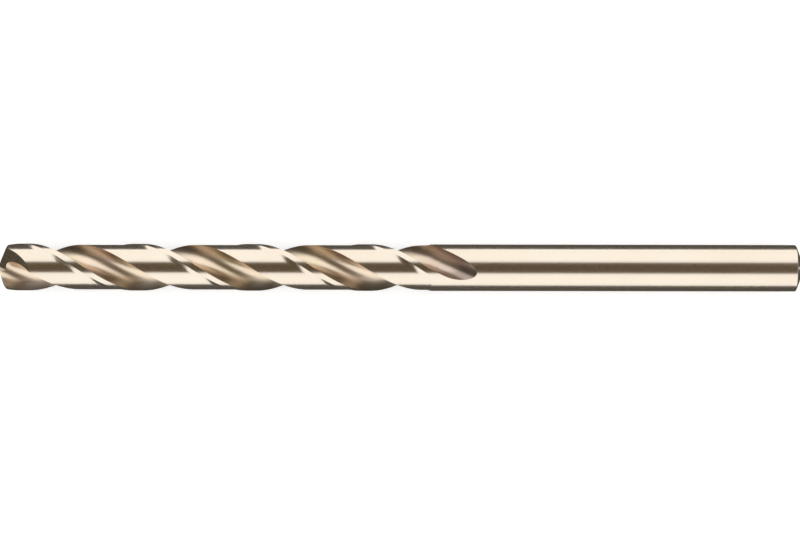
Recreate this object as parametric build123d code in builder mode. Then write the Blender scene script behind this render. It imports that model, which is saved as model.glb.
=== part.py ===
"""Right-hand twist drill with a plain cylindrical shank, two helical flutes and a split point.

The drill lies along X: the point is at -X, the shank at +X, and +Z is up. The origin is on the surface
that the drill lies on, midway along its length. All sizes are in millimetres and degrees.
"""

from build123d import *

import os
from math import acos, asin, atan2, cos, degrees, hypot, pi, radians, sin, sqrt, tan

# Overall sizes: the fluted body tapers back from its full diameter at the point to the shank's
drill_diameter = 5.0
shank_diameter = 4.97
shank_length = 34.0
overall_length = 86.0

# Flutes: across the drill, a straight rake wall runs into a round heel wall
flute_lead = 24.3
full_flute_length = 45.9
web_thickness = 1.2
flute_opening = 80.8
flute_lean = 3.0

# The wheel that grinds the flutes leaves the shape of its rim at the end of each
wheel_diameter = 100.0
wheel_widening = 1.04

# Lands: a narrow margin at full diameter behind each cutting edge, and the rest relieved
margin_width = 0.68
land_relief = 0.12
relieved_length = 46.2

# Point: one primary facet behind each lip, and a steep heel facet whose gash splits the web
point_angle = 135.0
lip_relief_angle = 12.0
heel_facet_angle = 56.0
heel_facet_turn = 125.0
heel_facet_setback = 0.05
split_lip_turn = 28.0
split_web = 0.2

# Shank end: a blunt cone with a small flat
shank_end_angle = 135.0
shank_end_flat = 0.6

# How far the cutting shapes stand clear of the steel
overrun = 1.0

# Worked out from the sizes above
radius = drill_diameter / 2
shank_radius = shank_diameter / 2
body_length = overall_length - shank_length
core_radius = web_thickness / 2
relieved_radius = radius - land_relief
cutter_radius = radius + overrun
tip_x = -overall_length / 2
shank_end_x = overall_length / 2
helix_angle = degrees(atan2(pi * drill_diameter, flute_lead))
half_opening = flute_opening / 2
full_turn = 360.0
half_turn = full_turn / 2
quarter_turn = full_turn / 4
drill_axis = Axis((0, 0, radius), (1, 0, 0))
tip_plane = Plane(origin=(tip_x, 0, radius), z_dir=drill_axis.direction)
on_base = (Align.CENTER, Align.CENTER, Align.MIN)


def outward(angle):
    """The unit vector across the drill at an angle from +Y towards +Z."""
    return Vector(0, cos(radians(angle)), sin(radians(angle)))


def turn_at(x):
    """The angle by which the flutes have turned at x, counted from the tip."""
    return (x - tip_x) * full_turn / flute_lead


def flute_plane(x, tilt=0.0):
    """The plane across the drill at x, turned with the flutes and tilted to face along a helix angle."""
    across = outward(turn_at(x))
    along = drill_axis.direction
    x_dir = across * cos(radians(tilt)) + along * sin(radians(tilt))
    z_dir = along * cos(radians(tilt)) - across * sin(radians(tilt))
    return Plane(origin=(x, 0, radius), x_dir=x_dir, z_dir=z_dir)


# One flute across the drill, opening along its plane's own y axis. The heel wall is an arc that
# touches the core and ends at the heel, and the rake wall runs from it to the cutting edge.
heel_reach = relieved_radius * cos(radians(half_opening - flute_lean))
heel_wall_radius = (relieved_radius**2 + core_radius**2 - 2 * core_radius * heel_reach) / (
    2 * (heel_reach - core_radius)
)
heel_wall_x = (heel_wall_radius + core_radius) * sin(radians(flute_lean))
heel_wall_y = (heel_wall_radius + core_radius) * cos(radians(flute_lean))
edge_x = -radius * sin(radians(half_opening))
edge_y = radius * cos(radians(half_opening))
heel_x = relieved_radius * sin(radians(half_opening))
heel_y = relieved_radius * cos(radians(half_opening))
edge_distance = hypot(edge_x - heel_wall_x, edge_y - heel_wall_y)
edge_bearing = degrees(atan2(edge_y - heel_wall_y, edge_x - heel_wall_x)) % full_turn
rake_bearing = edge_bearing + degrees(acos(heel_wall_radius / edge_distance)) - full_turn
rake_length = sqrt(edge_distance**2 - heel_wall_radius**2)
heel_bearing = degrees(atan2(heel_y - heel_wall_y, heel_x - heel_wall_x)) + degrees(overrun / heel_wall_radius)
heel_wall_turn = rake_bearing - heel_bearing

with BuildSketch() as flute_profile:
    with BuildLine():
        heel_wall = CenterArc((heel_wall_x, heel_wall_y), heel_wall_radius, heel_bearing, heel_wall_turn)
        rake_wall = Line(heel_wall @ 1, (heel_wall @ 1) + (heel_wall % 1) * (rake_length + overrun))
        Polyline(
            rake_wall @ 1,
            ((rake_wall @ 1).X, cutter_radius),
            ((heel_wall @ 0).X, cutter_radius),
            heel_wall @ 0,
        )
    make_face()

# The relieved part of one land, from the back of its margin to past its heel
margin_angle = degrees(margin_width / radius)
relief_start = quarter_turn + half_opening + margin_angle
relief_turn = half_turn - flute_opening - margin_angle + degrees(overrun / radius)

with BuildSketch() as relief_profile:
    with BuildLine():
        inner_arc = CenterArc((0, 0), core_radius, relief_start, relief_turn)
        clear_arc = CenterArc((0, 0), cutter_radius, relief_start, relief_turn)
        Line(inner_arc @ 0, clear_arc @ 0)
        Line(inner_arc @ 1, clear_arc @ 1)
    make_face()


def helical_cutter(profile, length):
    """What a profile and its twin cut as they run along the helix, from before the tip to a length."""
    start = flute_plane(tip_x - overrun)
    end = flute_plane(tip_x + length)
    with BuildLine() as guide:
        Helix(flute_lead, length + overrun, radius, center=start.origin, direction=drill_axis.direction)
    with BuildPart() as cutter:
        with BuildSketch(start):
            with PolarLocations(radius=0, count=2):
                add(profile.sketch)
        with BuildLine():
            Line(start.origin, end.origin)
        sweep(binormal=guide.edge())
    return cutter


flute_cutter = helical_cutter(flute_profile, full_flute_length)

with BuildPart() as relief_cutter:
    add(helical_cutter(relief_profile, relieved_length).part)
    with Locations(tip_plane):
        Cylinder(relieved_radius, 2 * overall_length, mode=Mode.SUBTRACT)

# The rim of the wheel where it stops: the flute's shape squeezed to lie square across the helix, and
# turned about the wheel's axis. Only its shank side is left, because the helix covers the rest.
wheel_x = tip_x + full_flute_length
wheel_plane = flute_plane(wheel_x, helix_angle)
wheel_centre = wheel_plane.from_local_coords(Vector(0, wheel_diameter / 2 + core_radius, 0))
wheel_squeeze = cos(radians(helix_angle)) * wheel_widening

with BuildPart() as wheel_cutter:
    with BuildSketch(wheel_plane):
        add(flute_profile.sketch)
        scale(by=(wheel_squeeze, 1, 1))
    revolve(axis=Axis(wheel_centre, wheel_plane.x_dir))
    split(bisect_by=flute_plane(wheel_x), keep=Keep.TOP)

# The first lip runs past the axis at the core's radius, out to where its cutting edge meets the cone
cone_height = radius / tan(radians(point_angle / 2))
lip_bearing = quarter_turn + half_opening + turn_at(tip_x + cone_height) + degrees(asin(core_radius / radius))
tip_centre = Vector(tip_x, 0, radius)
cutter_size = 4 * drill_diameter


def facet_plane(slope, slope_bearing, setback=0.0):
    """A facet's plane, which falls back from the tip by a slope towards a bearing and faces the tip side."""
    facing = outward(slope_bearing) * slope - drill_axis.direction
    return Plane(origin=tip_centre + drill_axis.direction * setback, z_dir=facing)


cone_slope = 1 / tan(radians(point_angle / 2))
relief_slope = tan(radians(lip_relief_angle))
primary_slope = hypot(cone_slope, relief_slope)
primary_bearing = lip_bearing + degrees(atan2(relief_slope, cone_slope))

with BuildPart() as primary_cutter:
    with BuildSketch(facet_plane(primary_slope, primary_bearing)):
        Rectangle(cutter_size, cutter_size)
    extrude(amount=cutter_size)

# The gash cuts the heel facet of the opposite land, and its wall leaves the split lip on the first
heel_facet_bearing = lip_bearing - half_turn + heel_facet_turn
heel_facet_slope = tan(radians(heel_facet_angle))
split_wall_facing = outward(lip_bearing - split_lip_turn - quarter_turn)
split_wall = Plane(origin=tip_centre + split_wall_facing * split_web / 2, z_dir=split_wall_facing)

with BuildPart() as gash_cutter:
    with BuildSketch(facet_plane(heel_facet_slope, heel_facet_bearing, heel_facet_setback)):
        Rectangle(cutter_size, cutter_size)
    extrude(amount=cutter_size)
    with BuildSketch(split_wall):
        Rectangle(cutter_size, cutter_size)
    extrude(amount=cutter_size, mode=Mode.INTERSECT)

# The drill: a round bar with back taper and a blunt cone at the shank's end, relieved, fluted and pointed
shank_flat_radius = shank_end_flat / 2
shank_cone_height = (shank_radius - shank_flat_radius) / tan(radians(shank_end_angle / 2))

with BuildPart() as twist_drill:
    with Locations(tip_plane):
        Cone(radius, shank_radius, body_length, align=on_base)
    with Locations(tip_plane.offset(body_length)):
        Cylinder(shank_radius, shank_length - shank_cone_height, align=on_base)
    with Locations(tip_plane.offset(overall_length - shank_cone_height)):
        Cone(shank_radius, shank_flat_radius, shank_cone_height, align=on_base)
    add(relief_cutter.part, mode=Mode.SUBTRACT)
    add(flute_cutter.part, mode=Mode.SUBTRACT)
    for cutter in (wheel_cutter, primary_cutter, gash_cutter):
        add(cutter.part, mode=Mode.SUBTRACT)
        add(cutter.part.rotate(drill_axis, half_turn), mode=Mode.SUBTRACT)

twist_drill.part.label = "twist_drill"

os.makedirs("parts", exist_ok=True)
export_step(twist_drill.part, "parts/twist_drill.step")
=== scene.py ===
"""Dresses a right-hand twist drill: ground flutes, polished lands and shank, split point, soft studio."""

from __future__ import annotations

import logging
from dataclasses import dataclass
from enum import Enum
from math import acos, asin, atan2, cos, degrees, hypot, pi, radians, sin, sqrt, tan

import bmesh
import bpy
import numpy as np
from mathutils import Matrix, Vector

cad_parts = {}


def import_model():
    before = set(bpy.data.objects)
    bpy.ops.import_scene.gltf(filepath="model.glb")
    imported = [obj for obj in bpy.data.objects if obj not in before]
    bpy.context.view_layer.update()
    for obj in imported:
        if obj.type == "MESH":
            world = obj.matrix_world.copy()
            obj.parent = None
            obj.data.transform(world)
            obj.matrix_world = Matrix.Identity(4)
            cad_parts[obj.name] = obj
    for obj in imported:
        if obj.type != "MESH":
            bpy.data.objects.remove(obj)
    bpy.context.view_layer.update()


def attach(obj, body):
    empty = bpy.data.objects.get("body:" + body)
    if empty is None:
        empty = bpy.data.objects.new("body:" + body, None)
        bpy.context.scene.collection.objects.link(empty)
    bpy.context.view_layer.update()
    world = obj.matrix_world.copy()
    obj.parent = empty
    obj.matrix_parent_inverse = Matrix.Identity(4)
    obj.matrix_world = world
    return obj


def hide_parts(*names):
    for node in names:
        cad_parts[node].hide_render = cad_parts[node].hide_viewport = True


LOG = logging.getLogger("twist_drill")
MM = 0.001
ON_PLANE = 1e-6
SLIVER = 1e-5
SHORTEST = 1e-9
LEAST_AREA = 1e-20
ALONG = Vector((1.0, 0.0, 0.0))
WHITE = (1.0, 1.0, 1.0, 1.0)
MIX_INPUTS = (0, 6, 7)
MIX_OUTPUT = 2


class Surface(Enum):
    """The ground surfaces of the drill, in the order of its material slots."""

    SHANK = 0
    SHANK_ROUND = 1
    SHANK_CONE = 2
    SHANK_FLAT = 3
    MARGIN = 4
    MARGIN_FOOT = 5
    LAND = 6
    LAND_END = 7
    HEEL_WALL = 8
    RAKE_WALL = 9
    FLUTE_END = 10
    PRIMARY_FACET = 11
    HEEL_FACET = 12
    SPLIT_WALL = 13


@dataclass(frozen=True)
class DrillForm:
    """Sizes of the drill, in millimetres and degrees. It lies along X with its point at -X."""

    diameter: float = 5.0
    shank_diameter: float = 4.97
    length: float = 86.0
    shank_length: float = 34.0
    flute_lead: float = 24.3
    full_flute_length: float = 45.9
    web: float = 1.2
    flute_opening: float = 80.8
    flute_lean: float = 3.0
    wheel_diameter: float = 100.0
    wheel_widening: float = 1.04
    margin_width: float = 0.68
    margin_foot_width: float = 0.6
    land_relief: float = 0.12
    relieved_length: float = 46.2
    relief_ramp: float = 0.6
    point_angle: float = 135.0
    lip_relief: float = 12.0
    heel_facet_angle: float = 56.0
    heel_facet_turn: float = 125.0
    heel_facet_setback: float = 0.05
    split_lip_turn: float = 28.0
    split_web: float = 0.2
    shank_end_angle: float = 135.0
    shank_end_flat: float = 0.6
    shank_end_round: float = 0.14
    wheel_lap: float = 0.05
    clearance: float = 1.0

    @property
    def radius(self) -> float:
        """Radius over the margins at the point, which is also the height of the axis."""
        return self.diameter / 2

    @property
    def shank_radius(self) -> float:
        """Radius of the plain shank."""
        return self.shank_diameter / 2

    @property
    def land_radius(self) -> float:
        """Radius of the relieved lands."""
        return self.radius - self.land_relief

    @property
    def core_radius(self) -> float:
        """Half the web's thickness."""
        return self.web / 2

    @property
    def tip_x(self) -> float:
        """Where the point is along the drill."""
        return -self.length / 2

    @property
    def wheel_x(self) -> float:
        """Where the full flutes end and the wheel's imprint starts."""
        return self.tip_x + self.full_flute_length

    @property
    def half_opening(self) -> float:
        """Half the angle that a flute opens over."""
        return self.flute_opening / 2

    @property
    def helix_angle(self) -> float:
        """Angle between a margin and the axis."""
        return degrees(atan2(pi * self.diameter, self.flute_lead))

    @property
    def twist(self) -> float:
        """Turn of the flutes in radians a millimetre."""
        return 2 * pi / self.flute_lead

    @property
    def margin_angle(self) -> float:
        """Angle that a margin covers around the drill."""
        return degrees(self.margin_width / self.radius)

    @property
    def heel_wall(self) -> tuple[float, float, float]:
        """Centre across, centre up and radius of the round heel wall of a flute that opens upwards."""
        reach = self.land_radius * cos(radians(self.half_opening - self.flute_lean))
        core = self.core_radius
        wall = (self.land_radius**2 + core**2 - 2 * core * reach) / (2 * (reach - core))
        lean = radians(self.flute_lean)
        return (wall + core) * sin(lean), (wall + core) * cos(lean), wall

    @property
    def heel_bearing(self) -> float:
        """Bearing of the heel's edge from the centre of the heel wall, in radians."""
        across, up, _ = self.heel_wall
        half = radians(self.half_opening)
        return atan2(self.land_radius * cos(half) - up, self.land_radius * sin(half) - across)

    @property
    def rake_bearing(self) -> float:
        """Bearing of the place where the heel wall runs into the rake wall, in radians."""
        across, up, wall = self.heel_wall
        half = radians(self.half_opening)
        away_x = -self.radius * sin(half) - across
        away_y = self.radius * cos(half) - up
        return atan2(away_y, away_x) % (2 * pi) + acos(wall / hypot(away_x, away_y)) - 2 * pi

    @property
    def rake_start(self) -> tuple[float, float]:
        """The place across the drill where the straight rake wall starts."""
        across, up, wall = self.heel_wall
        return across + wall * cos(self.rake_bearing), up + wall * sin(self.rake_bearing)

    @property
    def rake_run(self) -> tuple[float, float]:
        """Unit direction of the rake wall from the core out to the cutting edge."""
        return sin(self.rake_bearing), -cos(self.rake_bearing)

    def rim(self, x: float) -> float:
        """Radius of the back-tapered bar at a place along the drill."""
        share = (x - self.tip_x) / (self.length - self.shank_length)
        return self.radius + (self.shank_radius - self.radius) * min(share, 1.0)

    def land(self, x: float) -> float:
        """Radius of the relieved lands at a place. It rises to the bar's where the relief ends."""
        share = (x - self.tip_x - self.relieved_length) / self.relief_ramp + 1.0
        return self.land_radius + (self.rim(x) - self.land_radius) * min(max(share, 0.0), 1.0) ** 2

    def turn(self, x: float) -> float:
        """Turn of the flutes at a place, in radians and counted from the tip."""
        return (x - self.tip_x) * self.twist

    def rake_length(self, rim: float) -> float:
        """Length of the rake wall out to the surface of a bar of that radius."""
        start_x, start_y = self.rake_start
        run_x, run_y = self.rake_run
        along = start_x * run_x + start_y * run_y
        return -along + sqrt(along**2 - start_x**2 - start_y**2 + rim**2)


Ring = list[tuple[float, float, Surface]]
Face = tuple[list[int], Surface]
Object = bpy.types.Object
Tags = tuple[Surface, Surface, Surface]


@dataclass(frozen=True)
class SectionMaker:
    """Outlines across the drill, as (across, up, surface after the point).

    Those of the bar all have the same count of points.
    """

    form: DrillForm
    heel_steps: int = 26
    rake_steps: int = 12
    margin_steps: int = 8
    foot_steps: int = 8
    land_steps: int = 22

    def _arc(self, radius: float, start: float, end: float, steps: int, surface: Surface) -> Ring:
        """Points along an arc about the axis between two angles in radians, without its last one."""
        angles = [start + (end - start) * i / steps for i in range(steps)]
        return [(radius * cos(a), radius * sin(a), surface) for a in angles]

    def _rake_wall(self, reach: float, surface: Surface) -> Ring:
        """Points along the straight rake wall, from the core outwards and without its last one."""
        start_x, start_y = self.form.rake_start
        run_x, run_y = self.form.rake_run
        gone = [reach * i / self.rake_steps for i in range(self.rake_steps)]
        return [(start_x + run_x * g, start_y + run_y * g, surface) for g in gone]

    def _heel_wall(self, overturn: float, steps: int, surface: Surface) -> Ring:
        """Points along the round heel wall, without its last one.

        Args:
            overturn: How far the wall runs on past the heel, in radians.
            steps: How many steps the wall is cut into.
            surface: What the wall belongs to.

        Returns:
            The points from the heel to the core.
        """
        across, up, wall = self.form.heel_wall
        start = self.form.heel_bearing + overturn
        end = self.form.rake_bearing
        angles = [start + (end - start) * i / steps for i in range(steps)]
        return [(across + wall * cos(a), up + wall * sin(a), surface) for a in angles]

    def _behind_edge(self, rim: float, land: float, tags: Tags) -> Ring:
        """The margin, its foot and the land behind one cutting edge.

        Args:
            rim: Radius of the margin.
            land: Radius of the land.
            tags: Surfaces of the margin, its foot and the land.

        Returns:
            The points from the cutting edge to the next heel.
        """
        form = self.form
        start_x, start_y = form.rake_start
        run_x, run_y = form.rake_run
        reach = form.rake_length(max(rim, form.land_radius))
        edge = atan2(start_y + run_y * reach, start_x + run_x * reach)
        foot = radians(90 + form.half_opening + form.margin_angle)
        land_start = foot + form.margin_foot_width / form.radius
        heel = radians(270 - form.half_opening)
        points = self._arc(rim, edge, foot, self.margin_steps, tags[0])
        for i in range(self.foot_steps):
            share = i / self.foot_steps
            angle = foot + (land_start - foot) * share
            radius = land + (rim - land) * (1 - share) ** 2
            points.append((radius * cos(angle), radius * sin(angle), tags[1]))
        return points + self._arc(land, land_start, heel, self.land_steps, tags[2])

    def _both(self, half: Ring) -> Ring:
        """The half outline and its twin on the other side of the axis."""
        return half + [(-x, -y, surface) for x, y, surface in half]

    def fluted(self, rim: float, land: float) -> Ring:
        """The outline where the flutes are full.

        Args:
            rim: Radius of the margins.
            land: Radius of the lands there.

        Returns:
            The closed outline, anticlockwise from the first heel.
        """
        half = self._heel_wall(0.0, self.heel_steps, Surface.HEEL_WALL)
        half += self._rake_wall(self.form.rake_length(rim), Surface.RAKE_WALL)
        tags = (Surface.MARGIN, Surface.MARGIN_FOOT, Surface.LAND)
        return self._both(half + self._behind_edge(rim, land, tags))

    def unfluted(self, rim: float, land: float, tags: Tags) -> Ring:
        """The outline past the full flutes, where only the lands are relieved.

        Args:
            rim: Radius of the bar.
            land: Radius of the lands there.
            tags: Surfaces of the bar, the margins' feet and the lands.

        Returns:
            The closed outline, with as many points as the fluted one.
        """
        form = self.form
        steps = self.heel_steps + self.rake_steps
        start = radians(90 - form.half_opening)
        end = radians(90 + form.half_opening)
        relief_end = start + form.clearance / form.radius
        half: Ring = []
        for i in range(steps):
            angle = start + (end - start) * i / steps
            relieved = angle < relief_end
            radius = land if relieved else rim
            half.append((radius * cos(angle), radius * sin(angle), tags[2] if relieved else tags[0]))
        return self._both(half + self._behind_edge(rim, land, tags))

    def flute_tool(self) -> Ring:
        """The outline that the wheel cuts one flute with, closed well outside the bar."""
        form = self.form
        _, _, wall = form.heel_wall
        reach = form.rake_length(form.radius) + form.clearance
        points = self._heel_wall(form.clearance / wall, 2 * self.heel_steps, Surface.FLUTE_END)
        points += self._rake_wall(reach, Surface.FLUTE_END)
        left = form.rake_start[0] + form.rake_run[0] * reach
        top = form.radius + form.clearance
        points.append((left, form.rake_start[1] + form.rake_run[1] * reach, Surface.FLUTE_END))
        points.append((left, top, Surface.FLUTE_END))
        points.append((points[0][0], top, Surface.FLUTE_END))
        return points


class SolidMaker:
    """Closed solids whose material slots name their surfaces, and cuts between them, in millimetres."""

    def piece(self, name: str, vertices: list[Vector], faces: list[Face]) -> Object:
        """Makes a linked mesh object.

        Args:
            name: Name of the object.
            vertices: The points.
            faces: Each face's corners and surface.

        Returns:
            The object.
        """
        mesh = bpy.data.meshes.new(name)
        mesh.from_pydata([tuple(v) for v in vertices], [], [corners for corners, _ in faces])
        for _ in Surface:
            mesh.materials.append(None)
        for polygon, (_, surface) in zip(mesh.polygons, faces):
            polygon.material_index = surface.value
        solid = bpy.data.objects.new(name, mesh)
        bpy.context.scene.collection.objects.link(solid)
        return solid

    def keep_beyond(self, solid: Object, place: Vector, facing: Vector, surface: Surface) -> None:
        """Cuts a solid by a plane, keeps the part that the plane faces and closes it.

        Args:
            solid: The solid.
            place: A point on the plane.
            facing: The plane's normal.
            surface: What the new face belongs to.
        """
        shape = bmesh.new()
        shape.from_mesh(solid.data)
        geometry = shape.verts[:] + shape.edges[:] + shape.faces[:]
        bmesh.ops.bisect_plane(
            shape, geom=geometry, dist=ON_PLANE, plane_co=place, plane_no=facing, clear_inner=True
        )
        rim = [edge for edge in shape.edges if edge.is_boundary]
        for face in bmesh.ops.holes_fill(shape, edges=rim, sides=0)["faces"]:
            face.material_index = surface.value
        bmesh.ops.recalc_face_normals(shape, faces=shape.faces[:])
        shape.to_mesh(solid.data)
        shape.free()

    def subtract(self, solid: Object, tool: Object) -> None:
        """Takes a tool's solid out of another and removes the tool.

        Args:
            solid: The solid that is cut, and whose mesh is exchanged.
            tool: The solid that cuts it.
        """
        cut = solid.modifiers.new("cut", "BOOLEAN")
        cut.operation = "DIFFERENCE"
        cut.solver = "EXACT"
        cut.material_mode = "INDEX"
        cut.object = tool
        graph = bpy.context.evaluated_depsgraph_get()
        result = bpy.data.meshes.new_from_object(solid.evaluated_get(graph))
        solid.modifiers.clear()
        spent = solid.data
        solid.data = result
        bpy.data.meshes.remove(spent)
        bpy.data.meshes.remove(tool.data)


@dataclass(frozen=True)
class Wheel:
    """The grinding wheel where it stops at the end of a flute. Its turns are in degrees."""

    form: DrillForm
    twin: bool
    first_turn: float = -5.0
    last_turn: float = 26.0
    turn_step: float = 0.5

    @property
    def squeeze(self) -> float:
        """How much narrower the wheel's rim is than the flute across the drill."""
        return cos(radians(self.form.helix_angle)) * self.form.wheel_widening

    @property
    def reach(self) -> float:
        """Distance from the drill's axis to the wheel's."""
        return self.form.wheel_diameter / 2 + self.form.core_radius

    @property
    def origin(self) -> Vector:
        """Where the wheel's middle plane crosses the drill's axis."""
        return Vector((self.form.wheel_x, 0.0, self.form.radius))

    @property
    def axes(self) -> tuple[Vector, Vector, Vector]:
        """Unit vectors along the wheel's axis, out of the flute and along the groove."""
        turn = self.form.turn(self.form.wheel_x) + (pi if self.twin else 0.0)
        tilt = radians(self.form.helix_angle)
        across = Vector((0.0, cos(turn), sin(turn)))
        side = across * cos(tilt) + ALONG * sin(tilt)
        groove = ALONG * cos(tilt) - across * sin(tilt)
        return side, Vector((0.0, -sin(turn), cos(turn))), groove

    def tool(self, maker: SolidMaker) -> Object:
        """The part of the wheel's rim that cuts past the full flute.

        Args:
            maker: Makes the solid.

        Returns:
            The closed solid.
        """
        ring = SectionMaker(self.form).flute_tool()
        side, opening, groove = self.axes
        sweep = self.last_turn - self.first_turn
        count = round(sweep / self.turn_step)
        vertices: list[Vector] = []
        for i in range(count + 1):
            angle = radians(self.first_turn + sweep * i / count)
            for across, up, _ in ring:
                away = self.reach - up
                place = self.origin + side * (across * self.squeeze)
                place += opening * (self.reach - away * cos(angle))
                vertices.append(place + groove * (away * sin(angle)))
        faces: list[Face] = []
        size = len(ring)
        for s in range(count):
            for i in range(size):
                j = (i + 1) % size
                corners = [s * size + i, s * size + j, (s + 1) * size + j, (s + 1) * size + i]
                faces.append((corners, Surface.FLUTE_END))
        faces.append((list(range(size)), Surface.FLUTE_END))
        faces.append((list(range(count * size, (count + 1) * size)), Surface.FLUTE_END))
        solid = maker.piece("wheel_rim", vertices, faces)
        start = Vector((self.form.wheel_x - self.form.wheel_lap, 0.0, 0.0))
        maker.keep_beyond(solid, start, ALONG, Surface.LAND_END)
        return solid


class Facing:
    """Exact surface normals of the ground surfaces, so that polished steel reflects without facets."""

    def __init__(self, form: DrillForm) -> None:
        """Keeps the drill's sizes."""
        self.form = form

    def _across(self, u: np.ndarray, v: np.ndarray, rake: np.ndarray) -> tuple[np.ndarray, np.ndarray]:
        """Normals across a flute that opens upwards.

        Args:
            u: Coordinates across the flute.
            v: Coordinates out of the flute.
            rake: Which points lie on the straight rake wall.

        Returns:
            The two parts of the unit normals.
        """
        centre_u, centre_v, wall = self.form.heel_wall
        start_u, start_v = self.form.rake_start
        round_u, round_v = centre_u - u, centre_v - v
        size = np.maximum(np.hypot(round_u, round_v), SHORTEST)
        flat_u, flat_v = (centre_u - start_u) / wall, (centre_v - start_v) / wall
        return np.where(rake, flat_u, round_u / size), np.where(rake, flat_v, round_v / size)

    def radial(self, places: np.ndarray) -> np.ndarray:
        """Unit normals of the surfaces that are round about the axis, at points in millimetres."""
        out = places - np.array([0.0, 0.0, self.form.radius])
        out[:, 0] = 0.0
        return out / np.maximum(np.linalg.norm(out, axis=1, keepdims=True), SHORTEST)

    def helical(self, places: np.ndarray, rake: bool) -> np.ndarray:
        """Normals of the flutes' walls.

        Args:
            places: Points in millimetres.
            rake: Whether they lie on the rake wall.

        Returns:
            The unit normals.
        """
        form = self.form
        y, z = places[:, 1], places[:, 2] - form.radius
        turn = (places[:, 0] - form.tip_x) * form.twist
        u = y * np.cos(turn) + z * np.sin(turn)
        v = z * np.cos(turn) - y * np.sin(turn)
        side = np.where(v < 0, -1.0, 1.0)
        across, up = self._across(u * side, v * side, np.full(len(u), rake))
        across, up = across * side, up * side
        out_y = across * np.cos(turn) - up * np.sin(turn)
        out_z = across * np.sin(turn) + up * np.cos(turn)
        out_x = form.twist * (z * out_y - y * out_z)
        out = np.stack([out_x, out_y, out_z], axis=1)
        return out / np.linalg.norm(out, axis=1, keepdims=True)

    def imprint(self, places: np.ndarray) -> np.ndarray:
        """Normals of the wheel's imprints.

        Args:
            places: Points in millimetres.

        Returns:
            The unit normals.
        """
        out = np.zeros_like(places)
        start_u, start_v = self.form.rake_start
        run_u, run_v = self.form.rake_run
        for twin in (False, True):
            wheel = Wheel(self.form, twin)
            side, opening, groove = (np.array(axis) for axis in wheel.axes)
            away = places - np.array(wheel.origin)
            u = away @ side / wheel.squeeze
            height, along = away @ opening, away @ groove
            distance = np.hypot(wheel.reach - height, along)
            v = wheel.reach - distance
            rake = (u < self.form.heel_wall[0]) & ((u - start_u) * run_u + (v - start_v) * run_v > 0)
            across, up = self._across(u, v, rake)
            inward = np.outer(wheel.reach - height, opening) - np.outer(along, groove)
            normal = np.outer(across / wheel.squeeze, side) + inward * (up / distance)[:, None]
            mine = height > 0
            out[mine] = normal[mine]
        return out / np.maximum(np.linalg.norm(out, axis=1, keepdims=True), SHORTEST)

    def apply(self, piece: Object) -> None:
        """Gives every corner of a mesh in metres the normal of its true surface.

        Args:
            piece: The drill.
        """
        mesh = piece.data
        corner_count, face_count = len(mesh.loops), len(mesh.polygons)
        vertex_of = np.empty(corner_count, dtype=np.int64)
        mesh.loops.foreach_get("vertex_index", vertex_of)
        places = np.empty(len(mesh.vertices) * 3)
        mesh.vertices.foreach_get("co", places)
        places = places.reshape(-1, 3)[vertex_of] / MM
        sizes = np.empty(face_count, dtype=np.int64)
        mesh.polygons.foreach_get("loop_total", sizes)
        tags = np.empty(face_count, dtype=np.int64)
        mesh.polygons.foreach_get("material_index", tags)
        flat = np.empty(face_count * 3)
        mesh.polygons.foreach_get("normal", flat)
        areas = np.empty(face_count)
        mesh.polygons.foreach_get("area", areas)
        face_of = np.repeat(np.arange(face_count), sizes)
        flat = flat.reshape(-1, 3)
        tag_of = tags[face_of]
        _, group = np.unique(vertex_of * len(Surface) + tag_of, return_inverse=True)
        total = np.zeros((group.max() + 1, 3))
        np.add.at(total, group, (flat * areas[:, None])[face_of])
        normals = total[group]
        normals /= np.maximum(np.linalg.norm(normals, axis=1, keepdims=True), LEAST_AREA)
        exact = {
            Surface.SHANK: self.radial,
            Surface.MARGIN: self.radial,
            Surface.LAND: self.radial,
            Surface.HEEL_WALL: lambda p: self.helical(p, False),
            Surface.RAKE_WALL: lambda p: self.helical(p, True),
            Surface.FLUTE_END: self.imprint,
        }
        for surface, rule in exact.items():
            mine = tag_of == surface.value
            normals[mine] = rule(places[mine])
        plane = (Surface.SHANK_FLAT, Surface.PRIMARY_FACET, Surface.HEEL_FACET, Surface.SPLIT_WALL)
        mine = np.isin(tag_of, [surface.value for surface in plane])
        normals[mine] = flat[face_of][mine]
        mesh.polygons.foreach_set("use_smooth", np.ones(face_count, dtype=bool))
        mesh.normals_split_custom_set(normals.tolist())
        mesh.update()


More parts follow.
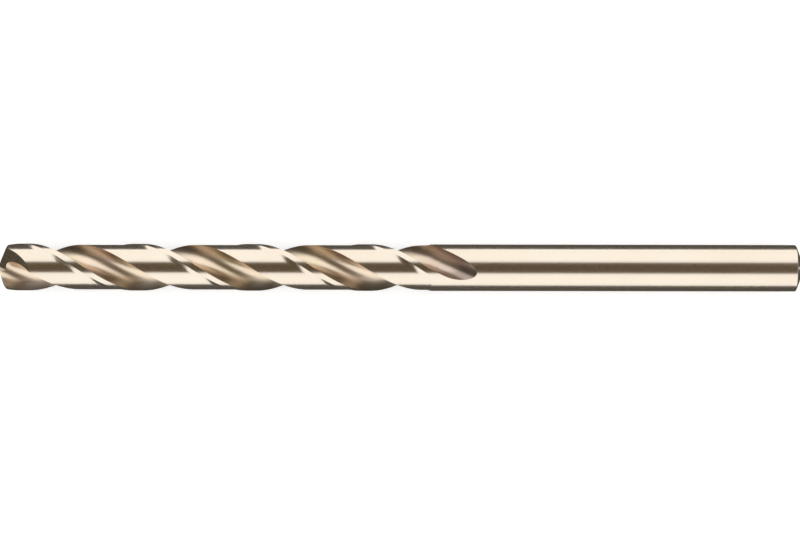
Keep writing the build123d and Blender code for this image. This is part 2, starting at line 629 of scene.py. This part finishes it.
@dataclass(frozen=True)
class TwistDrill:
    """The whole drill as one mesh: a fluted bar with its run-outs, its split point and its shank."""

    form: DrillForm
    step: float = 0.2
    ramp_steps: int = 6
    shank_steps: int = 60
    round_steps: int = 6
    tool_size: float = 20.0
    tip_overrun: float = 0.3

    def _place(self, x: float, across: float, up: float, turn: float) -> Vector:
        """The point in the shared frame, in millimetres, of one given across the drill before a turn."""
        y = across * cos(turn) - up * sin(turn)
        z = across * sin(turn) + up * cos(turn)
        return Vector((x, y, z + self.form.radius))

    def _stations(self) -> list[tuple[float, float, Ring]]:
        """Every outline along the drill as (x, turn, outline)."""
        form, maker = self.form, SectionMaker(self.form)
        start = form.tip_x - self.tip_overrun
        count = round((form.wheel_x - start) / self.step)
        stations = []
        for i in range(count + 1):
            x = start + (form.wheel_x - start) * i / count
            stations.append((x, form.turn(x), maker.fluted(form.rim(x), form.land(x))))
        rising = (Surface.MARGIN, Surface.LAND_END, Surface.LAND_END)
        relief_end = form.tip_x + form.relieved_length
        for i in range(self.ramp_steps):
            x = form.wheel_x + (relief_end - form.wheel_x) * i / self.ramp_steps
            stations.append((x, form.turn(x), maker.unfluted(form.rim(x), form.land(x), rising)))
        turn = form.turn(relief_end)
        cone_slope = radians(form.shank_end_angle / 2)
        flat = form.shank_end_flat / 2
        cone_start = form.length / 2 - (form.shank_radius - flat) / tan(cone_slope)
        round_start = cone_start - form.shank_end_round * tan(cone_slope / 2)
        plain = (Surface.SHANK,) * 3
        for i in range(self.shank_steps):
            x = relief_end + (round_start - relief_end) * i / self.shank_steps
            stations.append((x, turn, maker.unfluted(form.rim(x), form.rim(x), plain)))
        for i in range(self.round_steps + 1):
            bend = cone_slope * i / self.round_steps
            x = round_start + form.shank_end_round * sin(bend)
            rim = form.shank_radius - form.shank_end_round * (1 - cos(bend))
            tag = Surface.SHANK_ROUND if i < self.round_steps else Surface.SHANK_CONE
            stations.append((x, turn, maker.unfluted(rim, rim, (tag,) * 3)))
        stations.append((form.length / 2, turn, maker.unfluted(flat, flat, (Surface.SHANK_FLAT,) * 3)))
        return stations

    def _bar(self, maker: SolidMaker) -> Object:
        """The fluted bar with its shank, still square at the tip.

        Args:
            maker: Makes the solid.

        Returns:
            The mesh object, in millimetres.
        """
        vertices: list[Vector] = []
        faces: list[Face] = []
        stations = self._stations()
        size = len(stations[0][2])
        for x, turn, ring in stations:
            vertices += [self._place(x, across, up, turn) for across, up, _ in ring]
        for s in range(len(stations) - 1):
            low, high = s * size, (s + 1) * size
            wall = stations[s][0] == stations[s + 1][0]
            for i in range(size):
                j = (i + 1) % size
                tag = Surface.LAND_END if wall else stations[s][2][i][2]
                faces.append(([low + i, low + j, high + j, high + i], tag))
        faces.append((list(range(size - 1, -1, -1)), Surface.PRIMARY_FACET))
        last = (len(stations) - 1) * size
        faces.append((list(range(last, last + size)), Surface.SHANK_FLAT))
        return maker.piece("twist_drill_body", vertices, faces)

    def _wedge(self, maker: SolidMaker, planes: list[tuple[Vector, Vector, Surface]]) -> Object:
        """The part of a block about the tip that lies beyond every one of some planes.

        Args:
            maker: Makes the solid.
            planes: Each plane's place, facing and surface.

        Returns:
            The solid.
        """
        half = self.tool_size / 2
        centre = Vector((self.form.tip_x, 0.0, self.form.radius))
        signs = [(a, b, c) for a in (-1, 1) for b in (-1, 1) for c in (-1, 1)]
        vertices = [centre + Vector(sign) * half for sign in signs]
        corners = ([0, 1, 3, 2], [4, 6, 7, 5], [0, 4, 5, 1], [2, 3, 7, 6], [0, 2, 6, 4], [1, 5, 7, 3])
        solid = maker.piece("wedge", vertices, [(c, Surface.PRIMARY_FACET) for c in corners])
        for place, facing, surface in planes:
            maker.keep_beyond(solid, place, facing, surface)
        return solid

    def _outward(self, angle: float) -> Vector:
        """The unit vector across the drill at an angle in degrees from +Y towards +Z."""
        return Vector((0.0, cos(radians(angle)), sin(radians(angle))))

    def _point_tools(self, maker: SolidMaker, twin: bool) -> list[Object]:
        """The solids that grind one lip: its primary facet, and the gash behind it.

        Args:
            maker: Makes the solids.
            twin: Whether it is the second lip.

        Returns:
            The solids.
        """
        form = self.form
        tip = Vector((form.tip_x, 0.0, form.radius))
        cone_slope = 1 / tan(radians(form.point_angle / 2))
        relief_slope = tan(radians(form.lip_relief))
        lip = 90.0 + form.half_opening + degrees(form.turn(form.tip_x + form.radius * cone_slope))
        lip += degrees(asin(form.core_radius / form.radius)) + (180.0 if twin else 0.0)
        primary = lip + degrees(atan2(relief_slope, cone_slope))
        primary_facing = self._outward(primary) * hypot(cone_slope, relief_slope) - ALONG
        gash = lip - 180.0 + form.heel_facet_turn
        gash_facing = self._outward(gash) * tan(radians(form.heel_facet_angle)) - ALONG
        wall_facing = self._outward(lip - form.split_lip_turn - 90.0)
        gash_planes = [
            (tip + ALONG * form.heel_facet_setback, gash_facing, Surface.HEEL_FACET),
            (tip + wall_facing * form.split_web / 2, wall_facing, Surface.SPLIT_WALL),
        ]
        return [
            self._wedge(maker, [(tip, primary_facing, Surface.PRIMARY_FACET)]),
            self._wedge(maker, gash_planes),
        ]

    def build(self) -> Object:
        """Makes the drill.

        Returns:
            The mesh object, in metres and in the shared frame.
        """
        maker = SolidMaker()
        piece = self._bar(maker)
        for twin in (False, True):
            maker.subtract(piece, Wheel(self.form, twin).tool(maker))
        for twin in (False, True):
            for tool in self._point_tools(maker, twin):
                maker.subtract(piece, tool)
        shape = bmesh.new()
        shape.from_mesh(piece.data)
        bmesh.ops.triangulate(shape, faces=shape.faces[:])
        bmesh.ops.dissolve_degenerate(shape, dist=SLIVER, edges=shape.edges[:])
        open_edges = sum(not edge.is_manifold for edge in shape.edges)
        volume = shape.calc_volume()
        LOG.info("drill: %d faces, %.2f mm3, %d open edges", len(shape.faces), volume, open_edges)
        shape.transform(Matrix.Scale(MM, 4))
        shape.to_mesh(piece.data)
        shape.free()
        Facing(self.form).apply(piece)
        return piece


Colour = tuple[float, float, float]
Pair = tuple[float, float]
Socket = bpy.types.NodeSocket
Outputs = bpy.types.bpy_prop_collection
Source = Socket | float | tuple[float, ...]


@dataclass(frozen=True)
class Wiring:
    """Short ways to add nodes. A source is the socket that feeds an input, or the input's constant."""

    tree: bpy.types.NodeTree

    def feed(self, socket: Socket, source: Source) -> None:
        """Gives an input its source."""
        if isinstance(source, Socket):
            self.tree.links.new(source, socket)
        else:
            socket.default_value = source

    def place(self) -> Socket:
        """The object's own coordinates, in metres."""
        return self.tree.nodes.new("ShaderNodeTexCoord").outputs["Object"]

    def parts(self, vector: Socket) -> Outputs:
        """The sockets X, Y and Z of a vector."""
        split = self.tree.nodes.new("ShaderNodeSeparateXYZ")
        self.feed(split.inputs[0], vector)
        return split.outputs

    def vector(self, operation: str, *sources: Source) -> Outputs:
        """The outputs of a node that reckons with vectors."""
        return self._reckoned("ShaderNodeVectorMath", operation, sources)

    def value(self, operation: str, *sources: Source) -> Socket:
        """The result of a node that reckons with single numbers."""
        return self._reckoned("ShaderNodeMath", operation, sources)[0]

    def _reckoned(self, kind: str, operation: str, sources: tuple[Source, ...]) -> Outputs:
        """Adds a node that works something out.

        Args:
            kind: Type of the node.
            operation: What it works out.
            sources: The sources of its inputs, in their order.

        Returns:
            The outputs.
        """
        node = self.tree.nodes.new(kind)
        node.operation = operation
        for socket, source in zip(node.inputs, sources):
            self.feed(socket, source)
        return node.outputs

    def untwisted(self, form: DrillForm) -> Socket:
        """The object's coordinates from the axis, with the twist of the flutes taken out.

        Args:
            form: Sizes of the drill.

        Returns:
            The socket.
        """
        place = self.vector("SUBTRACT", self.place(), (0.0, 0.0, form.radius * MM))["Vector"]
        per_metre = -form.twist / MM
        turn = self.value("MULTIPLY_ADD", self.parts(place)["X"], per_metre, form.tip_x * form.twist)
        rotate = self.tree.nodes.new("ShaderNodeVectorRotate")
        rotate.rotation_type = "X_AXIS"
        self.feed(rotate.inputs["Vector"], place)
        self.feed(rotate.inputs["Angle"], turn)
        return rotate.outputs[0]

    def ranged(self, value: Socket, low: Pair, high: Pair, kind: str = "LINEAR") -> Socket:
        """A value mapped onto a range, and held at its ends.

        Args:
            value: The value.
            low: Where one end of the range belongs, and that end.
            high: Where the other end belongs, and that end.
            kind: How the range runs between them.

        Returns:
            The socket.
        """
        node = self.tree.nodes.new("ShaderNodeMapRange")
        node.interpolation_type = kind
        names = ("Value", "From Min", "To Min", "From Max", "To Max")
        for name, source in zip(names, (value, *low, *high)):
            self.feed(node.inputs[name], source)
        return node.outputs[0]

    def share(self, value: Socket, none_at: float, full_at: float) -> Socket:
        """How far a value in metres has come from one limit in millimetres to another, eased."""
        return self.ranged(value, (none_at * MM, 0.0), (full_at * MM, 1.0), "SMOOTHSTEP")

    def mixed(self, share: Socket, first: Socket | Colour, second: Colour, kind: str = "MIX") -> Socket:
        """Two colours mixed.

        Args:
            share: How much of the second one applies.
            first: The first colour.
            second: The second colour.
            kind: How the second one is laid over the first.

        Returns:
            The socket.
        """
        node = self.tree.nodes.new("ShaderNodeMix")
        node.data_type = "RGBA"
        node.blend_type = kind
        below = first if isinstance(first, Socket) else (*first, 1.0)
        for i, source in zip(MIX_INPUTS, (share, below, (*second, 1.0))):
            self.feed(node.inputs[i], source)
        return node.outputs[MIX_OUTPUT]

    def noise(self, place: Socket, scale: float, detail: float, roughness: float = 0.5) -> Socket:
        """Fractal noise at a place, from nought to one."""
        node = self.tree.nodes.new("ShaderNodeTexNoise")
        sources = {"Vector": place, "Scale": scale, "Detail": detail, "Roughness": roughness}
        for name, source in sources.items():
            self.feed(node.inputs[name], source)
        return node.outputs["Fac"]

    def seen(self) -> Socket:
        """One for the rays by which the camera, metal or glass sees a surface, and nought for its light."""
        path = self.tree.nodes.new("ShaderNodeLightPath").outputs
        seen = path["Is Camera Ray"]
        for name in ("Is Glossy Ray", "Is Transmission Ray"):
            seen = self.value("MAXIMUM", seen, path[name])
        return seen


class Grain(Enum):
    """Which way the grinding lines of a finish run."""

    AROUND = "around the axis"
    ALONG_HELIX = "along the flutes"
    ACROSS_POINT = "across the point's facets"


@dataclass(frozen=True)
class FluteDarkening:
    """Shades that darken a flute's colour, and where each begins and is full. Those towards the lip are
    painted shade; the others darken the rake wall and the run-out.

    The limits of the painted shade towards the lip are shares of the radius. The others are millimetres
    past the surface's start.
    """

    # Painted shade, full towards the lip.
    lip: Colour
    # Darker colour on the rake wall.
    rake: Colour
    # Darker colour in the run-out.
    run_out: Colour
    # More painted shade towards the lip in the run-out.
    run_out_lip_painted_shade: Colour
    lip_painted_shade_limits: Pair = (0.4, 0.7)
    rake_limits: Pair = (-0.25, 0.35)
    run_out_limits: Pair = (-2.5, 1.0)

    def apply(self, wiring: Wiring, colour: Socket, form: DrillForm) -> Socket:
        """Darkens a colour with painted shade towards the lip, and also on the rake wall and in the
        run-out.

        Args:
            wiring: The material's nodes.
            colour: The colour of the heel wall near the core.
            form: Sizes of the drill.

        Returns:
            The socket of the new colour.
        """
        place = wiring.untwisted(form)
        parts = wiring.parts(place)
        before, past = (form.wheel_x + limit for limit in self.run_out_limits)
        full = wiring.share(parts["X"], past, before)
        gone = wiring.share(parts["X"], before, past)
        across = wiring.vector("MULTIPLY", place, (0.0, 1.0, 1.0))["Vector"]
        distance = wiring.vector("LENGTH", across)["Value"]
        # Share of painted shade: none near the core, full towards the lip.
        lip_painted_shade_share = wiring.share(distance, *(form.radius * limit for limit in self.lip_painted_shade_limits))
        run_x, run_y = form.rake_run
        start = form.rake_start[0] * run_x + form.rake_start[1] * run_y
        along = wiring.vector("DOT_PRODUCT", place, (0.0, run_x, run_y))["Value"]
        along = wiring.value("MULTIPLY", along, wiring.value("SIGN", parts["Z"]))
        raked = wiring.share(along, *(start + limit for limit in self.rake_limits))
        # The lip shades are painted shade; the rake and run-out ones darken those surfaces.
        for shade, share in (
            (self.lip, lip_painted_shade_share),
            (self.run_out_lip_painted_shade, wiring.value("MULTIPLY", lip_painted_shade_share, gone)),
            (self.rake, wiring.value("MULTIPLY", raked, full)),
            (self.run_out, gone),
        ):
            colour = wiring.mixed(share, colour, shade, "MULTIPLY")
        return colour


@dataclass(frozen=True)
class GroundSteel:
    """Tempered cobalt steel as one grinding step leaves it; a flute's steel also gets painted shade towards
    the lip. Lengths are in metres.
    """

    name: str
    grain: Grain
    colour: Colour
    tint: Colour
    tint_size: float
    roughness: float
    roughness_spread: float
    line_pitch: float
    line_depth: float
    # Darkening of the flutes: painted shade towards the lip, and a darker rake wall and run-out.
    flute_darkening: FluteDarkening | None = None
    line_stretch: float = 40.0
    line_detail: float = 3.0
    line_roughness: float = 0.6
    line_limits: Pair = (0.25, 0.75)
    tint_detail: float = 2.0
    tint_limits: Pair = (0.35, 0.65)

    def _lines(self, wiring: Wiring, form: DrillForm) -> Socket:
        """Noise that is stretched along the grinding lines.

        Args:
            wiring: The material's nodes.
            form: Sizes of the drill.

        Returns:
            The socket.
        """
        scale = 1.0 / self.line_pitch
        slow = scale / self.line_stretch
        stretch = {
            Grain.AROUND: (scale, slow, slow),
            Grain.ALONG_HELIX: (slow, scale, scale),
            Grain.ACROSS_POINT: (scale, slow, scale),
        }[self.grain]
        place = wiring.untwisted(form) if self.grain is Grain.ALONG_HELIX else wiring.place()
        stretched = wiring.vector("MULTIPLY", place, stretch)["Vector"]
        return wiring.noise(stretched, 1.0, self.line_detail, self.line_roughness)

    def material(self, form: DrillForm) -> bpy.types.Material:
        """Makes the material.

        Args:
            form: Sizes of the drill, for the twist of the lines.

        Returns:
            The material.
        """
        steel = bpy.data.materials.new(self.name)
        steel.use_nodes = True
        wiring = Wiring(steel.node_tree)
        shader = steel.node_tree.nodes["Principled BSDF"]
        shader.inputs["Metallic"].default_value = 1.0
        lines = self._lines(wiring, form)
        patches = wiring.noise(wiring.place(), 1.0 / self.tint_size, self.tint_detail)
        spread = wiring.ranged(patches, (self.tint_limits[0], 0.0), (self.tint_limits[1], 1.0))
        colour = wiring.mixed(spread, self.colour, self.tint)
        # Painted shade towards the flutes' lip, and a darker rake wall and run-out.
        if self.flute_darkening:
            colour = self.flute_darkening.apply(wiring, colour, form)
        wiring.feed(shader.inputs["Base Color"], colour)
        smooth = (self.line_limits[0], self.roughness - self.roughness_spread)
        rough = (self.line_limits[1], self.roughness + self.roughness_spread)
        wiring.feed(shader.inputs["Roughness"], wiring.ranged(lines, smooth, rough))
        relief = steel.node_tree.nodes.new("ShaderNodeBump")
        relief.inputs["Strength"].default_value = 1.0
        relief.inputs["Distance"].default_value = self.line_depth
        wiring.feed(relief.inputs["Height"], lines)
        wiring.feed(shader.inputs["Normal"], relief.outputs[0])
        return steel


@dataclass(frozen=True)
class DrillFinish:
    """The finishes of the drill's surfaces."""

    polished: GroundSteel = GroundSteel(
        name="polished_land",
        grain=Grain.AROUND,
        colour=(0.82, 0.715, 0.595),
        tint=(0.83, 0.74, 0.62),
        tint_size=0.009,
        roughness=0.22,
        roughness_spread=0.03,
        line_pitch=0.00006,
        line_depth=1.5e-7,
    )
    fluted: GroundSteel = GroundSteel(
        name="ground_flute",
        grain=Grain.ALONG_HELIX,
        colour=(0.87, 0.71, 0.56),
        tint=(0.83, 0.70, 0.51),
        tint_size=0.005,
        roughness=0.34,
        roughness_spread=0.06,
        line_pitch=0.00008,
        line_depth=8e-7,
        # Painted shade towards each lip; a darker rake wall and run-out.
        flute_darkening=FluteDarkening(
            lip=(0.70, 0.69, 0.70),
            rake=(0.65, 0.65, 0.63),
            run_out=(0.84, 0.81, 0.86),
            run_out_lip_painted_shade=(0.84, 0.85, 0.86),
        ),
    )
    pointed: GroundSteel = GroundSteel(
        name="ground_point",
        grain=Grain.ACROSS_POINT,
        colour=(0.62, 0.52, 0.40),
        tint=(0.55, 0.47, 0.38),
        tint_size=0.001,
        roughness=0.24,
        roughness_spread=0.06,
        line_pitch=0.00005,
        line_depth=8e-7,
    )

    def dress(self, piece: Object, form: DrillForm) -> None:
        """Puts a material on every surface of the drill.

        Args:
            piece: The drill.
            form: Sizes of the drill.
        """
        finishes = {
            Surface.HEEL_WALL: self.fluted,
            Surface.RAKE_WALL: self.fluted,
            Surface.FLUTE_END: self.fluted,
            Surface.PRIMARY_FACET: self.pointed,
            Surface.HEEL_FACET: self.pointed,
            Surface.SPLIT_WALL: self.pointed,
        }
        made: dict[str, bpy.types.Material] = {}
        for surface in Surface:
            finish = finishes.get(surface, self.polished)
            if finish.name not in made:
                made[finish.name] = finish.material(form)
            piece.data.materials[surface.value] = made[finish.name]


@dataclass(frozen=True)
class Flag:
    """A dark card beside the drill that only polished surfaces see."""

    name: str
    corners: tuple[Colour, ...]
    colour: Colour

    def place(self) -> None:
        """Makes the card and hides it from the camera, diffuse rays and shadows."""
        mesh = bpy.data.meshes.new(self.name)
        mesh.from_pydata(self.corners, [], [tuple(range(len(self.corners)))])
        card = bpy.data.objects.new(self.name, mesh)
        bpy.context.scene.collection.objects.link(card)
        paint = bpy.data.materials.new(self.name)
        paint.use_nodes = True
        nodes = paint.node_tree.nodes
        nodes.remove(nodes["Principled BSDF"])
        glow = nodes.new("ShaderNodeEmission")
        glow.inputs["Color"].default_value = (*self.colour, 1.0)
        paint.node_tree.links.new(glow.outputs[0], nodes["Material Output"].inputs["Surface"])
        mesh.materials.append(paint)
        card.visible_camera = False
        card.visible_diffuse = False
        card.visible_shadow = False


@dataclass(frozen=True)
class Studio:
    """A white table between two long soft boxes, with dark cards for the edges and the gap overhead."""

    box_length: float = 0.9
    box_distance: float = 0.4
    box_near: float = 30.0
    box_far: float = 87.0
    box_glow: float = 0.2
    room_glow: float = 0.95
    floor_size: float = 4.0
    floor_glow: float = 0.385
    floor_roughness: float = 0.9
    floor_colour: Colour = (0.9, 0.9, 0.89)
    gap_colour: Colour = (0.105, 0.076, 0.045)
    gap_height: float = 0.36
    gap_inset: float = 3.0
    gap_left: float = 0.18
    gap_right: float = 0.2
    edge_colour: Colour = (0.095, 0.088, 0.08)
    edge_height: float = 0.00005
    edge_inset: float = 0.0001
    front_reach: float = 0.0326
    back_reach: float = 0.0167
    end_distance: float = 0.25
    tip_end_colour: Colour = (0.11, 0.1, 0.08)
    tip_end_sides: Pair = (-0.25, 0.14)
    tip_end_rise: float = 0.5
    shank_end_colour: Colour = (0.05, 0.045, 0.04)
    shank_end_sides: Pair = (-0.3, 0.25)
    shank_end_rise: float = 0.26

    def _room(self) -> None:
        """Sets the world: soft light all round, and a white room to look at."""
        world = bpy.data.worlds.new("white_room")
        bpy.context.scene.world = world
        world.use_nodes = True
        wiring = Wiring(world.node_tree)
        background = world.node_tree.nodes["Background"]
        background.inputs["Color"].default_value = WHITE
        level = wiring.ranged(wiring.seen(), (0.0, self.room_glow), (1.0, 1.0))
        wiring.feed(background.inputs["Strength"], level)

    def _floor(self) -> None:
        """Makes the white table."""
        shape = bmesh.new()
        bmesh.ops.create_grid(shape, x_segments=1, y_segments=1, size=self.floor_size)
        mesh = bpy.data.meshes.new("floor")
        shape.to_mesh(mesh)
        shape.free()
        floor = bpy.data.objects.new("floor", mesh)
        bpy.context.scene.collection.objects.link(floor)
        paint = bpy.data.materials.new("white_table")
        paint.use_nodes = True
        wiring = Wiring(paint.node_tree)
        shader = paint.node_tree.nodes["Principled BSDF"]
        shader.inputs["Base Color"].default_value = (*self.floor_colour, 1.0)
        shader.inputs["Roughness"].default_value = self.floor_roughness
        shader.inputs["Specular IOR Level"].default_value = 0.0
        shader.inputs["Emission Color"].default_value = WHITE
        glow = wiring.value("MULTIPLY", wiring.seen(), self.floor_glow)
        wiring.feed(shader.inputs["Emission Strength"], glow)
        mesh.materials.append(paint)

    def _soft_boxes(self, height: float) -> None:
        """Hangs a long soft box on each side of the drill.

        Args:
            height: Height of the drill's axis.
        """
        middle = radians((self.box_near + self.box_far) / 2)
        half = radians((self.box_far - self.box_near) / 2)
        width = 2 * self.box_distance * tan(half)
        for side in (-1, 1):
            lamp = bpy.data.lights.new("soft_box", "AREA")
            lamp.shape = "RECTANGLE"
            lamp.size = self.box_length
            lamp.size_y = width
            lamp.energy = self.box_glow * pi * self.box_length * width
            box = bpy.data.objects.new("soft_box", lamp)
            away = Vector((0.0, side * sin(middle), cos(middle)))
            box.location = Vector((0.0, 0.0, height)) + away * self.box_distance
            box.rotation_euler = (side * -middle, 0.0, 0.0)
            bpy.context.scene.collection.objects.link(box)

    def _flags(self, height: float) -> None:
        """Sets the dark cards: one in the gap overhead, two on the table and one past each end.

        Args:
            height: Height of the drill's axis.
        """
        top, low, inset, long = self.gap_height, self.edge_height, self.edge_inset, self.box_length
        gap = (top - height) * tan(radians(self.box_near - self.gap_inset))
        for name, left, right, near, far, z, colour in (
            ("overhead_flag", -self.gap_left, self.gap_right, -gap, gap, top, self.gap_colour),
            ("front_flag", -long, long, -self.front_reach, -inset, low, self.edge_colour),
            ("back_flag", -long, long, inset, self.back_reach, low, self.edge_colour),
        ):
            corners = ((left, near, z), (right, near, z), (right, far, z), (left, far, z))
            Flag(name, corners, colour).place()
        tip_x, shank_x = -self.end_distance, self.end_distance
        for name, x, (near, far), rise, colour in (
            ("tip_end_flag", tip_x, self.tip_end_sides, self.tip_end_rise, self.tip_end_colour),
            ("shank_end_flag", shank_x, self.shank_end_sides, self.shank_end_rise, self.shank_end_colour),
        ):
            corners = ((x, near, 0.0), (x, far, 0.0), (x, far, rise), (x, near, rise))
            Flag(name, corners, colour).place()

    def build(self, form: DrillForm) -> None:
        """Makes the stage around the drill."""
        self._room()
        self._floor()
        self._soft_boxes(form.radius * MM)
        self._flags(form.radius * MM)


@dataclass(frozen=True)
class Viewpoint:
    """The camera, straight above the drill."""

    distance: float = 0.28
    lens: float = 118.0
    aim_x: float = -0.0001
    aim_y: float = 0.000064
    roll: float = 0.1
    nearest: float = 0.01
    farthest: float = 20.0

    def build(self, form: DrillForm) -> None:
        """Makes the camera.

        Args:
            form: Sizes of the drill.
        """
        camera = bpy.data.cameras.new("camera")
        camera.lens = self.lens
        camera.clip_start = self.nearest
        camera.clip_end = self.farthest
        eye = bpy.data.objects.new("camera", camera)
        eye.location = (self.aim_x, self.aim_y, form.radius * MM + self.distance)
        eye.rotation_euler = (0.0, 0.0, radians(self.roll))
        bpy.context.scene.collection.objects.link(eye)
        bpy.context.scene.camera = eye


def main() -> None:
    """Builds the drill and its studio."""
    logging.basicConfig(level=logging.INFO, format="%(name)s: %(message)s")
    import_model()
    form = DrillForm()
    piece = TwistDrill(form).build()
    DrillFinish().dress(piece, form)
    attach(piece, "root")
    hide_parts("twist_drill")
    Studio().build(form)
    Viewpoint().build(form)
    bpy.context.scene.view_settings.view_transform = "Standard"


if __name__ == "__main__":
    main()
